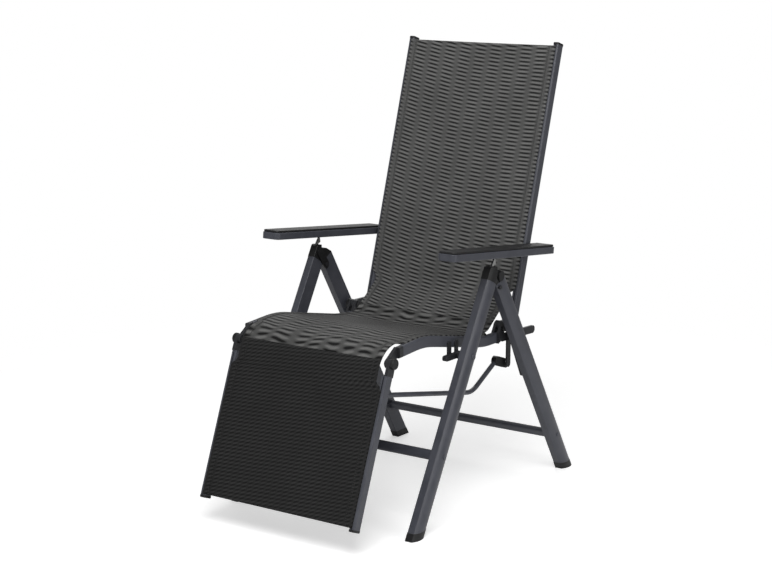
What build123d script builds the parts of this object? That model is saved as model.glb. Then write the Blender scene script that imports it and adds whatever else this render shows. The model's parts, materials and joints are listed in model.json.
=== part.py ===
from build123d import *
import os
from math import atan2, cos, degrees, hypot, radians, sin

# Reclining garden armchair with a footrest, folding aluminium frame and textile sling.
# X runs across the chair, the sitter faces -Y, Z is up. The origin lies on the floor
# below the middle of the chair's box. All lengths are in millimetres. Side-view places
# are given as (y, z), with y counted from the middle between the front and rear feet.

# Driving dimensions: the sling and the tubes that carry it
middle_y = 60.1             # from the box's middle to the middle between the feet
rail_span = 445.0           # between the middles of the left and right tubes
tube_wide = 16.0            # tube section across the chair
tube_deep = 27.0            # tube section square to the sling
tube_wall = 1.8
tube_round = 4.5
channel_wide = 3.0          # slot that holds the sling's edge
channel_deep = 6.0
sling_thick = 1.5
rest_gap = 0.3              # between pieces that lie on each other
run_gap = 0.06              # radial clearance of a turning fit
half_gap = 0.5              # between plates that turn beside each other

# Driving dimensions: the legs
leg_wide = 27.5
leg_deep = 44.0
leg_bulge = 8.5             # crown of the leg's outer face
leg_round = 1.6
leg_wall = 1.8
leg_gap = 23.5              # from the tubes' outer faces to the legs' inner faces
front_foot_y = -331.0       # middle of the front leg on the floor
rear_foot_y = 380.8
front_lean = 29.46          # degrees from upright
rear_lean = 32.0
front_leg_top = 565.0       # height of the tube's square end on its own axis
rear_leg_top = 568.0
foot_cap = 18.0
foot_plug = 12.0
cap_lip = 0.6               # how far a cap stands proud of its tube

# Driving dimensions: the pivots
fold_y = 18.0               # front leg to rear leg
fold_z = 549.0
fold_pin = 4.0
seat_pivot_z = 399.0        # seat to front leg, on the leg's axis
seat_pin = 5.0
back_hinge_y = 108.0        # seat to backrest
back_hinge_z = 430.0
foot_hinge_y = -372.0       # seat to footrest
foot_hinge_z = 428.0
eye_radius = 12.0           # round ends of the hinge castings
bush_radius = 6.0
knob_radius = 13.0
knob_thick = 8.5
knob_round = 3.0
flange_thick = 2.5
flange_radius = 9.0

# Driving dimensions: the backrest
back_lean = 16.84
back_set = 65.0             # the tube's axis behind the hinge, square to the tube
back_start = 30.0           # along the tube, from the hinge's level
back_end = 735.0
back_sling_start = 62.0
back_sling_end = 722.0

# Driving dimensions: the footrest
foot_lean = 21.25
foot_start = 31.0           # along the tube, from the hinge
foot_end = 389.0
foot_sling_start = 42.0
foot_sling_end = 382.0

# Driving dimensions: the seat
seat_front_y = -328.0
seat_front_z = 449.0
seat_crest_y = -235.0
seat_crest_z = 455.0
seat_dip_y = 30.0
seat_dip_z = 402.0
seat_rear_y = 85.0
crest_radius = 300.0
dip_radius = 280.0
seat_sling_front_y = -322.0
seat_sling_rear_y = 76.0

# Driving dimensions: the armrests
arm_wide = 54.0
arm_in_gap = 6.0            # from the backrest tube's outer face
arm_high = 17.5
arm_wall = 2.0
arm_front = 436.0           # in front of its pivot
arm_rear = 34.0
arm_slope = 5.98
arm_corner = 14.0
pad_high = 5.3
pad_inset = 2.0
arm_pivot_z = 609.7
pin_radius = 3.5            # armrest pin, then two nested rings round it
sleeve_radius = 5.0
ring_radius = 6.5

# Driving dimensions: crossbars, braces, rods and links
bar_high = 24.0
bar_deep = 15.0
bar_wall = 1.6
bar_round = 5.0
front_bar_z = 178.0
rear_bar_z = 105.0
brace_radius = 8.0          # crossbars hidden behind the sling
brace_wall = 1.5
rod_radius = 6.0
rod_in = 15.5               # from the tube's inner face to the rod's middle
rod_eye = 10.0
rod_pin = 4.0
rod_bend_radius = 70.0
lever_gap = 2.0             # from the tube's inner face to the lever
lever_thick = 4.0
lever_radius = 9.0
link_thick = 6.0
link_radius = 8.0
link_pin = 4.0

os.makedirs("parts", exist_ok=True)


def save(piece, name):
    """Label a finished piece and write its STEP file."""
    piece.part.label = name
    export_step(piece.part, f"parts/{name}.step")


def save_pair(right, name):
    """Write the right piece and its mirror image as two nodes."""
    with BuildPart() as left:
        mirror(right.part, about=Plane.YZ)
    save(right, f"{name}_r")
    save(left, f"{name}_l")


def save_both(right, name):
    """Write the right piece and its mirror image as one node of two solids."""
    with BuildPart() as both:
        add(right.part)
        mirror(right.part, about=Plane.YZ)
    save(both, name)


def place(y, z):
    """A side-view place, with y moved to the chair's own origin."""
    return (y + middle_y, z)


def along(start, angle, reach, side=0.0):
    """From a side-view place: reach along the angle, then side to the left of it."""
    turn = radians(angle)
    y = start[0] + reach * cos(turn) - side * sin(turn)
    z = start[1] + reach * sin(turn) + side * cos(turn)
    return (y, z)


def side_plane(x):
    """Plane of the chair's side view at x, with local X to the rear and local Y up."""
    return Plane.YZ.offset(x)


def cross_plane(x, spot, angle):
    """Plane square to a side-view direction, local X across the chair."""
    turn = radians(angle)
    return Plane(origin=(x, spot[0], spot[1]), x_dir=(1, 0, 0), z_dir=(0, cos(turn), sin(turn)))


def strap(first, second, radius):
    """Round-ended strip between two side-view places, drawn in the open sketch."""
    length = hypot(second[0] - first[0], second[1] - first[1])
    turn = degrees(atan2(second[1] - first[1], second[0] - first[0]))
    centre = ((first[0] + second[0]) / 2, (first[1] + second[1]) / 2, 0)
    with Locations(Location(centre, (0, 0, turn))):
        SlotCenterToCenter(length, radius * 2)


def disc(x, spot, radius, thick, mode=Mode.ADD):
    """Round bar across the chair at a side-view place, from x outwards."""
    with BuildSketch(side_plane(x)) as face:
        with Locations(spot):
            Circle(radius)
    extrude(face.sketch, amount=thick, mode=mode)


# Places and layers that follow from the driving dimensions
tube_x = rail_span / 2
tube_in = tube_x - tube_wide / 2
tube_out = tube_x + tube_wide / 2
leg_in = tube_out + leg_gap
leg_x = leg_in + leg_wide / 2
leg_out = leg_in + leg_wide
arm_in = tube_out + arm_in_gap
arm_out = arm_in + arm_wide
rod_x = tube_in - rod_in
lever_out = tube_in - lever_gap
lever_in = lever_out - lever_thick
sling_wide = rail_span - 2 * half_gap

front_angle = 90 - front_lean
rear_angle = 90 + rear_lean
back_angle = 90 - back_lean
foot_angle = 270 - foot_lean
arm_angle = 180 - arm_slope

front_foot = place(front_foot_y, 0)
rear_foot = place(rear_foot_y, 0)
fold_pivot = place(fold_y, fold_z)
back_hinge = place(back_hinge_y, back_hinge_z)
foot_hinge = place(foot_hinge_y, foot_hinge_z)


def front_axis(height):
    """Place on the front leg's axis at a height above the floor."""
    return along(front_foot, front_angle, height / cos(radians(front_lean)))


def rear_axis(height):
    """Place on the rear leg's axis at a height above the floor."""
    return along(rear_foot, rear_angle, height / cos(radians(rear_lean)))


def back_spot(reach, ahead=0.0):
    """Place on the backrest: reach up the tube's axis, ahead towards the sitter."""
    return along(back_hinge, back_angle, reach, ahead - back_set)


def foot_spot(reach, ahead=0.0):
    """Place on the footrest: reach down the tube's axis, ahead towards the sling's side."""
    return along(foot_hinge, foot_angle, reach, -ahead)


seat_pivot = front_axis(seat_pivot_z)
arm_reach = (arm_pivot_z - back_spot(0)[1]) / cos(radians(back_lean))
arm_pivot = back_spot(arm_reach)


# Legs: hollow aluminium section, flat inside and crowned outside


def leg_profile(grow=0.0):
    """Local X points outwards, local Y across the leg's depth."""
    half = leg_deep / 2 + grow
    inner = -leg_wide / 2 - grow
    crown = leg_wide / 2 + grow
    shoulder = crown - leg_bulge
    with BuildLine() as outline:
        Polyline((shoulder, -half), (inner, -half), (inner, half), (shoulder, half))
        ThreePointArc((shoulder, half), (crown, 0), (shoulder, -half))
    make_face(outline.edges())
    fillet(vertices(), leg_round if grow > -leg_wall else leg_round / 2)


def make_leg(axis, angle, top, hole, hole_radius, bar_spot):
    """Leg tube, cut level above its foot cap and square at its top."""
    foot = axis(0)
    end = axis(top)
    length = hypot(end[0] - foot[0], end[1] - foot[1])
    with BuildPart() as leg:
        with BuildSketch(cross_plane(leg_x, foot, angle)):
            leg_profile()
        extrude(amount=length)
        with BuildSketch(cross_plane(leg_x, foot, angle)):
            leg_profile(-leg_wall)
        extrude(amount=length, mode=Mode.SUBTRACT)
        split(bisect_by=Plane.XY.offset(foot_cap), keep=Keep.TOP)
        disc(leg_in - leg_wall, hole, hole_radius, leg_wide + 2 * leg_wall, Mode.SUBTRACT)
        disc(leg_in - leg_wall, bar_spot, screw_radius + run_gap, leg_wide + 2 * leg_wall, Mode.SUBTRACT)
    return leg


def make_foot(axis, angle):
    """Black foot cap, level below and above, with a plug inside the tube."""
    below = along(axis(0), angle, -leg_deep)
    with BuildPart() as plug:
        with BuildSketch(cross_plane(leg_x, below, angle)):
            leg_profile(-leg_wall - rest_gap)
        extrude(amount=leg_deep * 3)
        split(bisect_by=Plane.XY.offset(foot_cap + foot_plug), keep=Keep.BOTTOM)
        split(bisect_by=Plane.XY, keep=Keep.TOP)
    with BuildPart() as cap:
        with BuildSketch(cross_plane(leg_x, below, angle)):
            leg_profile(cap_lip)
        extrude(amount=leg_deep * 3)
        split(bisect_by=Plane.XY.offset(foot_cap), keep=Keep.BOTTOM)
        split(bisect_by=Plane.XY, keep=Keep.TOP)
        add(plug.part)
    return cap


screw_radius = 3.0
screw_head = 5.5
screw_head_thick = 2.2
front_bar_spot = front_axis(front_bar_z)
rear_bar_spot = rear_axis(rear_bar_z)

front_leg = make_leg(front_axis, front_angle, front_leg_top, seat_pivot, seat_pin, front_bar_spot)
rear_leg = make_leg(rear_axis, rear_angle, rear_leg_top, fold_pivot, fold_pin + run_gap, rear_bar_spot)
save_pair(front_leg, "front_leg")
save_pair(rear_leg, "rear_leg")
save_both(make_foot(front_axis, front_angle), "front_foot_caps")
save_both(make_foot(rear_axis, rear_angle), "rear_foot_caps")

# Crossbars between the legs, screwed through them
screw_grip = 14.0           # screw's length inside the bar


def make_crossbar(spot, angle):
    """Rounded hollow bar from leg to leg, its flat sides in line with the legs."""
    with BuildPart() as bar:
        with BuildSketch(side_plane(-leg_in)):
            with Locations(Location((spot[0], spot[1], 0), (0, 0, angle))):
                RectangleRounded(bar_high, bar_deep, bar_round)
            offset(amount=-bar_wall, mode=Mode.SUBTRACT)
        extrude(amount=2 * leg_in)
    return bar


def make_screw(spot):
    """Screw from the leg's outer face into the crossbar's end."""
    with BuildPart() as screw:
        disc(leg_in - screw_grip, spot, screw_radius, leg_wide + screw_grip)
        disc(leg_out, spot, screw_head, screw_head_thick)
        fillet(screw.edges().filter_by(GeomType.CIRCLE).sort_by(Axis.X)[-1], screw_head_thick / 2)
    return screw


save(make_crossbar(front_bar_spot, front_angle), "front_crossbar")
save(make_crossbar(rear_bar_spot, rear_angle), "rear_crossbar")
save_both(make_screw(front_bar_spot), "front_bar_screws")
save_both(make_screw(rear_bar_spot), "rear_bar_screws")

# Front leg heads: a black cap on the tube's end, with an inner cheek that holds the fold pin
head_rise = 38.0            # from the tube's end, on its axis, to the head's level top
head_cut = 8.1              # upright rear face, ahead of the leg's axis at the head's top
cheek_thick = 3.2
cheek_radius = 11.0
cheek_rise = 21.0           # the cheek's upper end above the tube's end
cheek_ahead = 8.0           # and ahead of the leg's axis
head_plug = 20.0
rivet_radius = 5.0
rivet_thick = 2.4
cheek_in = leg_in - rest_gap - cheek_thick
head_top = front_leg_top + head_rise
head_rear = along(front_axis(head_top), 180, head_cut)
cheek_top = along(front_axis(front_leg_top + cheek_rise), 180, cheek_ahead)

with BuildPart() as head_plug_part:
    with BuildSketch(cross_plane(leg_x, front_axis(front_leg_top), front_angle + 180)):
        leg_profile(-leg_wall - rest_gap)
    extrude(amount=head_plug)

with BuildPart() as front_head:
    with BuildSketch(cross_plane(leg_x, front_axis(front_leg_top), front_angle)):
        leg_profile(cap_lip)
    extrude(amount=2 * (head_top - front_leg_top))
    split(bisect_by=Plane.XY.offset(head_top), keep=Keep.BOTTOM)
    split(bisect_by=Plane.XZ.offset(-head_rear[0]), keep=Keep.TOP)
    with BuildSketch(side_plane(cheek_in)):
        strap(cheek_top, fold_pivot, cheek_radius)
    extrude(amount=cheek_thick)
    with BuildSketch(side_plane(cheek_in)):
        with Locations(cheek_top):
            Circle(cheek_radius)
    extrude(amount=cheek_thick + leg_wide / 2)
    add(head_plug_part.part)
    disc(cheek_in - cheek_thick, fold_pivot, fold_pin, 2 * cheek_thick, Mode.SUBTRACT)
save_pair(front_head, "front_head")

# Fold pins: rivets through the cheeks and the rear legs
with BuildPart() as fold_rivet:
    disc(cheek_in, fold_pivot, fold_pin, leg_out - cheek_in)
    disc(leg_out - rest_gap, fold_pivot, rivet_radius, rivet_thick)
    disc(cheek_in - rivet_thick, fold_pivot, rivet_radius, rivet_thick)
    fillet(fold_rivet.edges().filter_by(GeomType.CIRCLE).sort_by(Axis.X)[-1], rivet_thick / 2)
save_both(fold_rivet, "fold_pins")

# Latch tongues: bright metal points on the front heads that catch the armrests' racks
tongue_thick = 4.0
tongue_rise = 21.5          # tip above the head's top
tongue_ahead = 12.3         # tip ahead of the leg's axis
tongue_foot = 9.0           # the tongue's seat on the head
heel_rise = 5.0             # the tongue's rear corner above the head's top

with BuildPart() as tongue:
    with BuildSketch(side_plane(leg_x - tongue_thick / 2)):
        with BuildLine():
            Polyline(
                along(head_rear, 180, tongue_foot),
                along(front_axis(head_top + tongue_rise), 180, tongue_ahead),
                front_axis(head_top + heel_rise),
                head_rear,
                close=True,
            )
        make_face()
        fillet(vertices().sort_by(Axis.Y)[-1:], tongue_thick / 4)
    extrude(amount=tongue_thick)
save_both(tongue, "latch_tongues")

# Rear leg heads: black caps that taper to a round top with a flat boss
rear_head_rise = 10.0       # the boss's middle above the tube's end
rear_head_ahead = 2.1       # and ahead of the leg's axis
rear_head_radius = 14.0
rear_boss_radius = 12.5
rear_plug_deep = 7.0        # ends above the fold pin
rear_boss_thick = 3.0
rear_head_top = along(rear_axis(rear_leg_top + rear_head_rise), 180, rear_head_ahead)
rear_end = rear_axis(rear_leg_top)

with BuildPart() as rear_plug:
    with BuildSketch(cross_plane(leg_x, rear_end, rear_angle + 180)):
        leg_profile(-leg_wall - rest_gap)
    extrude(amount=rear_plug_deep)

with BuildPart() as rear_head:
    with BuildSketch(side_plane(leg_in)):
        with BuildLine():
            Line(along(rear_end, rear_angle, 0, leg_deep / 2), along(rear_end, rear_angle, 0, -leg_deep / 2))
            CenterArc(rear_head_top, rear_head_radius, 0, 360)
        make_hull()
    extrude(amount=leg_wide - rear_boss_thick)
    split(bisect_by=cross_plane(leg_x, rear_end, rear_angle), keep=Keep.TOP)
    fillet(rear_head.faces().sort_by(Axis.X)[-1].edges(), rear_boss_thick)
    disc(leg_x, rear_head_top, rear_boss_radius, leg_wide / 2 + rear_boss_thick)
    add(rear_plug.part)
save_pair(rear_head, "rear_head")

# Seat pivot bolts through the front legs
bolt_head = 7.5
bolt_head_thick = 3.0
bracket_in = tube_out

with BuildPart() as seat_bolt:
    disc(bracket_in + rest_gap, seat_pivot, seat_pin, leg_out - bracket_in - rest_gap)
    disc(leg_out, seat_pivot, bolt_head, bolt_head_thick)
    fillet(seat_bolt.edges().filter_by(GeomType.CIRCLE).sort_by(Axis.X)[-1], bolt_head_thick / 2)
save_both(seat_bolt, "seat_pivot_bolts")


# Tubes of the seat, the backrest and the footrest: one extruded section


def rail_outline(grow=0.0):
    """Tube section, local Y towards the sling."""
    RectangleRounded(tube_wide + 2 * grow, tube_deep + 2 * grow, tube_round + grow)


def rail_channel():
    """Slot for the sling's edge, in the middle of the face under the sling."""
    with Locations((0, (tube_deep - channel_deep) / 2)):
        Rectangle(channel_wide, channel_deep, mode=Mode.SUBTRACT)


def rail_hollow(shrink=0.0, mode=Mode.SUBTRACT):
    """Room inside the tube, below the channel."""
    low = -tube_deep / 2 + tube_wall + shrink
    high = tube_deep / 2 - channel_deep - tube_wall - shrink
    with Locations((0, (low + high) / 2)):
        RectangleRounded(tube_wide - 2 * (tube_wall + shrink), high - low, tube_round - tube_wall, mode=mode)


def make_tube(start, end, angle):
    """Straight hollow tube with its channel."""
    with BuildPart() as tube:
        with BuildSketch(cross_plane(tube_x, start, angle)):
            rail_outline()
            rail_channel()
            rail_hollow()
        extrude(amount=hypot(end[0] - start[0], end[1] - start[1]))
    return tube


cap_thick = 6.0
cap_plug = 16.0
cap_round = 2.5


def make_cap(end, angle, flip=1):
    """Black end cap with rounded edges and a plug inside the tube's end."""
    turn = radians(angle)
    outwards = Axis((0, 0, 0), (0, flip * cos(turn), flip * sin(turn)))
    with BuildPart() as cap:
        with BuildSketch(cross_plane(tube_x, end, angle)):
            rail_outline(cap_lip)
        extrude(amount=flip * cap_thick)
        fillet(cap.faces().sort_by(outwards)[-1].edges(), cap_round)
        with BuildSketch(cross_plane(tube_x, end, angle)):
            rail_hollow(rest_gap, Mode.ADD)
        extrude(amount=-flip * cap_plug)
    return cap


def make_brace(spot):
    """Round crossbar between the left and right tubes."""
    with BuildPart() as brace:
        with BuildSketch(side_plane(-tube_in)):
            with Locations(spot):
                Circle(brace_radius)
                Circle(brace_radius - brace_wall, mode=Mode.SUBTRACT)
        extrude(amount=2 * tube_in)
    return brace


def make_straight_sling(start, end, angle):
    """Flat textile sheet just above the tubes' faces."""
    with BuildPart() as sheet:
        with BuildSketch(cross_plane(0, start, angle)):
            with Locations((0, tube_deep / 2 + rest_gap + sling_thick / 2)):
                Rectangle(sling_wide, sling_thick)
        extrude(amount=hypot(end[0] - start[0], end[1] - start[1]))
    return sheet


def make_knob(x, spot):
    """Black round knob outside a hinge."""
    with BuildPart() as knob:
        disc(x, spot, knob_radius, knob_thick)
        fillet(knob.edges().filter_by(GeomType.CIRCLE).sort_by(Axis.X)[-1], knob_round)
    return knob


def make_bush(x_in, x_out, spot):
    """Hinge bush: a shaft through the hinge's plates with a flange on its inner end."""
    with BuildPart() as bush:
        disc(x_in, spot, bush_radius, x_out - x_in)
        disc(x_in - flange_thick, spot, flange_radius, flange_thick)
    return bush


# Seat: two bent tubes, two braces, black castings at the ends and the pivot brackets
seat_rear = place(seat_rear_y, seat_dip_z)
seat_dip = place(seat_dip_y, seat_dip_z)
seat_crest = place(seat_crest_y, seat_crest_z)
seat_front = place(seat_front_y, seat_front_z)
seat_front_angle = degrees(atan2(seat_front[1] - seat_crest[1], seat_front[0] - seat_crest[0]))


def seat_path(x):
    """The seat tube's middle line, from its rear end to its front end."""
    points = [(x, spot[0], spot[1]) for spot in (seat_rear, seat_dip, seat_crest, seat_front)]
    FilletPolyline(*points, radius=[dip_radius, crest_radius])


with BuildPart() as seat_rail:
    with BuildLine() as rail_line:
        seat_path(tube_x)
    with BuildSketch(cross_plane(tube_x, seat_rear, 180)):
        rail_outline()
        rail_channel()
        rail_hollow()
    sweep(path=rail_line.line)
save_pair(seat_rail, "seat_rail")

with BuildPart() as seat_sling:
    with BuildLine() as sling_line:
        seat_path(0)
    with BuildSketch(cross_plane(0, seat_rear, 180)):
        with Locations((0, tube_deep / 2 + rest_gap + sling_thick / 2)):
            Rectangle(sling_wide, sling_thick)
    sweep(path=sling_line.line)
    split(bisect_by=Plane.XZ.offset(-place(seat_sling_rear_y, 0)[0]), keep=Keep.TOP)
    split(bisect_by=Plane.XZ.offset(-place(seat_sling_front_y, 0)[0]), keep=Keep.BOTTOM)
save(seat_sling, "seat_sling")

front_brace_y = -255.0
rear_brace_y = -90.0


def seat_line_z(y):
    """Height of the seat tube's straight middle stretch at y."""
    slope = (seat_crest_z - seat_dip_z) / (seat_crest_y - seat_dip_y)
    return seat_dip_z + slope * (y - seat_dip_y)


front_brace_spot = along(seat_crest, seat_front_angle, seat_crest_y - front_brace_y)
rear_brace_spot = place(rear_brace_y, seat_line_z(rear_brace_y))
with BuildPart() as seat_braces:
    add(make_brace(front_brace_spot).part)
    add(make_brace(rear_brace_spot).part)
save(seat_braces, "seat_crossbars")

# Front casting: a block on the tube's end, then an inner half plate with the hinge eye
front_block = 15.0
layer_x = tube_x - half_gap  # inner layer's outer face at both hinges

with BuildPart() as seat_front_fitting:
    block_in = along(seat_front, seat_front_angle, front_block)
    with BuildSketch(side_plane(tube_in)):
        with BuildLine():
            Line(
                along(block_in, seat_front_angle, 0, tube_deep / 2),
                along(block_in, seat_front_angle, 0, -tube_deep / 2),
            )
            CenterArc(foot_hinge, eye_radius, 0, 360)
        make_hull()
    extrude(amount=layer_x - tube_in)
    with BuildSketch(cross_plane(tube_x, seat_front, seat_front_angle)):
        rail_outline()
    extrude(amount=front_block)
    with BuildSketch(cross_plane(tube_x, seat_front, seat_front_angle)):
        rail_hollow(rest_gap, Mode.ADD)
    extrude(amount=-cap_plug)
    disc(tube_in - tube_wide, foot_hinge, bush_radius + run_gap, 2 * tube_wide, Mode.SUBTRACT)
save_both(seat_front_fitting, "seat_front_fittings")

# Rear casting: a block on the tube's end, an inner plate with the hinge eye, and an outer
# plate that carries on to the rear as an arm for the fold link
rear_block = 18.0
arm_end_y = 252.0
arm_end_z = 395.0
arm_root_z = 401.0
arm_end_radius = 10.0
outer_plate_thick = 6.5
link_top_y = 136.0
link_top_z = 400.0
link_bottom_z = 295.1
link_bottom_ahead = 4.4     # from the rear leg's axis to the link's lower pivot
eye_clear = 2.5             # from the backrest's eye to the block between the plates
link_top = place(link_top_y, link_top_z)
link_bottom = along(rear_axis(link_bottom_z), rear_angle, 0, link_bottom_ahead)
outer_plate_in = tube_out + half_gap
outer_plate_out = outer_plate_in + outer_plate_thick
link_in = outer_plate_out + 2 * half_gap + bolt_head_thick / 2

with BuildPart() as seat_rear_fitting:
    with BuildSketch(side_plane(tube_in)):
        with BuildLine():
            Line(along(seat_rear, 90, tube_deep / 2), along(seat_rear, 90, -tube_deep / 2))
            CenterArc(back_hinge, eye_radius + half_gap, 0, 360)
        make_hull()
    extrude(amount=layer_x - tube_in)
    with BuildSketch(cross_plane(tube_x, seat_rear, 180)):
        rail_outline()
    extrude(amount=-rear_block)
    with BuildSketch(side_plane(tube_x)):
        with Locations(along(seat_rear, 0, rear_block / 2)):
            Rectangle(rear_block, tube_deep)
    extrude(amount=outer_plate_in - tube_x)
    with BuildSketch(side_plane(layer_x)):
        with Locations(back_hinge):
            Circle(eye_radius + eye_clear)
    extrude(amount=outer_plate_in - layer_x, mode=Mode.SUBTRACT)
    with BuildSketch(cross_plane(tube_x, seat_rear, 180)):
        rail_hollow(rest_gap, Mode.ADD)
    extrude(amount=cap_plug)
    with BuildSketch(side_plane(outer_plate_in)):
        with BuildLine():
            Line(along(seat_rear, 90, tube_deep / 2), along(seat_rear, 90, -tube_deep / 2))
            CenterArc(back_hinge, eye_radius + half_gap, 0, 360)
        make_hull()
        strap(place(seat_rear_y + rear_block, arm_root_z), place(arm_end_y, arm_end_z), arm_end_radius)
    extrude(amount=outer_plate_thick)
    disc(tube_in - tube_wide, back_hinge, bush_radius + run_gap, 3 * tube_wide, Mode.SUBTRACT)
    disc(tube_in - tube_wide, link_top, link_pin, 3 * tube_wide, Mode.SUBTRACT)
save_both(seat_rear_fitting, "seat_rear_fittings")

# Pivot brackets under the seat tubes
bracket_bar_y = -158.0
bracket_bar_radius = 6.5
bracket_plate = 4.0
bracket_boss = 10.0
bracket_post_y = -137.0
bracket_post_wide = 15.0

with BuildPart() as seat_bracket:
    post_spot = place(bracket_post_y, seat_line_z(bracket_post_y))
    with BuildSketch(side_plane(tube_out)):
        strap(place(bracket_bar_y, seat_pivot_z), seat_pivot, bracket_bar_radius)
        with BuildLine():
            Polyline(
                along(post_spot, 180, bracket_post_wide / 2),
                (post_spot[0] - bracket_post_wide / 2, seat_pivot_z),
                (post_spot[0] + bracket_post_wide / 2, seat_pivot_z),
                along(post_spot, 0, bracket_post_wide / 2),
                close=True,
            )
        make_face()
        with Locations(seat_pivot):
            Circle(bracket_boss)
        strap(seat_pivot, (seat_pivot[0], seat_line_z(seat_pivot[0] - middle_y)), bracket_bar_radius)
    extrude(amount=bracket_plate)
    with BuildSketch(side_plane(tube_out)):
        strap(place(bracket_bar_y, seat_pivot_z), seat_pivot, bracket_bar_radius)
    extrude(amount=leg_gap / 2)
    disc(tube_out, seat_pivot, bracket_boss, leg_gap - rest_gap)
    disc(tube_out, seat_pivot, seat_pin + run_gap, leg_gap, Mode.SUBTRACT)
save_both(seat_bracket, "seat_brackets")

# Fold links between the seat's rear arms and the rear legs
with BuildPart() as link_bolt:
    disc(outer_plate_in, link_top, link_pin, link_in + link_thick + bolt_head_thick - outer_plate_in)
    disc(outer_plate_out, link_top, screw_head, link_in - outer_plate_out - rest_gap)
    disc(link_in + link_thick + rest_gap, link_top, screw_head, bolt_head_thick - rest_gap)
save_both(link_bolt, "link_bolts")

with BuildPart() as fold_link:
    with BuildSketch(side_plane(link_in)):
        strap(link_top, link_bottom, link_radius)
        with Locations(link_top):
            Circle(link_pin + run_gap, mode=Mode.SUBTRACT)
    extrude(amount=link_thick)
save_both(fold_link, "fold_links")

with BuildPart() as link_boss:
    disc(link_in + link_thick + half_gap, link_bottom, link_radius, leg_in - link_in - link_thick - half_gap)
save_both(link_boss, "link_bosses")

# Backrest
back_top = back_spot(back_end)
back_low = back_spot(back_start)
fitting_collar = 12.0
upper_brace_reach = 690.0
lower_brace_reach = 112.0
lever_root = 20.0
lever_pin_y = 175.0
lever_pin_z = 316.0
pin_head_thick = 2.5
lever_spot = place(lever_pin_y, lever_pin_z)

save_pair(make_tube(back_top, back_low, back_angle + 180), "backrest_tube")
save(make_brace(back_spot(upper_brace_reach)), "backrest_upper_bar")
save(make_brace(back_spot(lower_brace_reach)), "backrest_lower_bar")
save_both(make_cap(back_top, back_angle + 180, -1), "backrest_caps")
back_sling = make_straight_sling(back_spot(back_sling_end), back_spot(back_sling_start), back_angle + 180)
save(back_sling, "back_sling")

eye_in = layer_x + half_gap
with BuildPart() as back_fitting:
    with BuildSketch(cross_plane(tube_x, back_low, back_angle + 180)):
        rail_outline()
    extrude(amount=fitting_collar)
    with BuildSketch(side_plane(eye_in)):
        strap(back_hinge, back_spot(back_start - eye_radius), eye_radius)
    extrude(amount=tube_out - eye_in)
    with BuildSketch(cross_plane(tube_x, back_low, back_angle + 180)):
        rail_hollow(rest_gap, Mode.ADD)
    extrude(amount=-cap_plug)
    disc(tube_in - tube_wide, back_hinge, bush_radius + run_gap, 2 * tube_wide, Mode.SUBTRACT)
save_both(back_fitting, "backrest_fittings")

save_both(make_bush(tube_in - rest_gap, outer_plate_out + half_gap, back_hinge), "back_bushes")
save_both(make_knob(outer_plate_out + half_gap, back_hinge), "back_knobs")

with BuildPart() as lever:
    with BuildSketch(side_plane(lever_in)):
        strap(back_spot(lever_root), lever_spot, lever_radius)
    extrude(amount=lever_thick)
    disc(lever_out, back_spot(lever_root), lever_radius, lever_gap)
save_both(lever, "levers")

rod_thick = 2 * rod_radius
with BuildPart() as lever_bolt:
    disc(rod_x - rod_radius - half_gap, lever_spot, rod_pin, lever_in - rod_x + rod_radius + half_gap)
    disc(rod_x - rod_radius - half_gap - pin_head_thick, lever_spot, bush_radius, pin_head_thick)
save_both(lever_bolt, "lever_pins")

# Footrest
foot_top = foot_spot(foot_start)
foot_low = foot_spot(foot_end)
mid_brace_reach = 205.0
low_brace_reach = 362.0
rod_pin_y = -386.0
rod_pin_z = 352.0
rod_spot = place(rod_pin_y, rod_pin_z)
pin_plate_reach = 85.0

save_pair(make_tube(foot_top, foot_low, foot_angle), "footrest_tube")
with BuildPart() as foot_braces:
    add(make_brace(foot_spot(mid_brace_reach)).part)
    add(make_brace(foot_spot(low_brace_reach)).part)
save(foot_braces, "footrest_bars")
save_both(make_cap(foot_low, foot_angle), "footrest_caps")
save(make_straight_sling(foot_spot(foot_sling_start), foot_spot(foot_sling_end), foot_angle), "foot_sling")

with BuildPart() as foot_fitting:
    with BuildSketch(side_plane(eye_in)):
        with BuildLine():
            Line(foot_spot(foot_start, tube_deep / 2 - rest_gap), foot_spot(foot_start, rest_gap - tube_deep / 2))
            CenterArc(foot_hinge, eye_radius, 0, 360)
        make_hull()
    extrude(amount=tube_out - eye_in)
    with BuildSketch(cross_plane(tube_x, foot_top, foot_angle)):
        rail_hollow(rest_gap, Mode.ADD)
    extrude(amount=cap_plug)
    disc(tube_in - tube_wide, foot_hinge, bush_radius + run_gap, 2 * tube_wide, Mode.SUBTRACT)
save_both(foot_fitting, "footrest_fittings")

save_both(make_bush(tube_in - rest_gap, tube_out + half_gap, foot_hinge), "foot_bushes")
save_both(make_knob(tube_out + half_gap, foot_hinge), "foot_knobs")

pin_plate_in = tube_in - flange_thick
with BuildPart() as rod_bolt:
    with BuildSketch(side_plane(pin_plate_in)):
        strap(foot_spot(pin_plate_reach), rod_spot, flange_radius)
    extrude(amount=flange_thick)
    disc(rod_x - rod_radius - half_gap, rod_spot, rod_pin, pin_plate_in - rod_x + rod_radius + half_gap)
    disc(rod_x - rod_radius - half_gap - pin_head_thick, rod_spot, bush_radius, pin_head_thick)
save_both(rod_bolt, "rod_pins")

# Link rods: bent round bars from the footrest to the backrest's levers
rod_bend_y = 21.0
rod_bend_z = 271.0
rod_block_y = 134.0
rod_block_z = 330.0
block_radius = 12.0
block_half = 6.5
hook_reach = 40.0
rod_bend = place(rod_bend_y, rod_bend_z)
rod_block = place(rod_block_y, rod_block_z)
rod_line_angle = degrees(atan2(lever_spot[1] - rod_spot[1], lever_spot[0] - rod_spot[0]))

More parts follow.
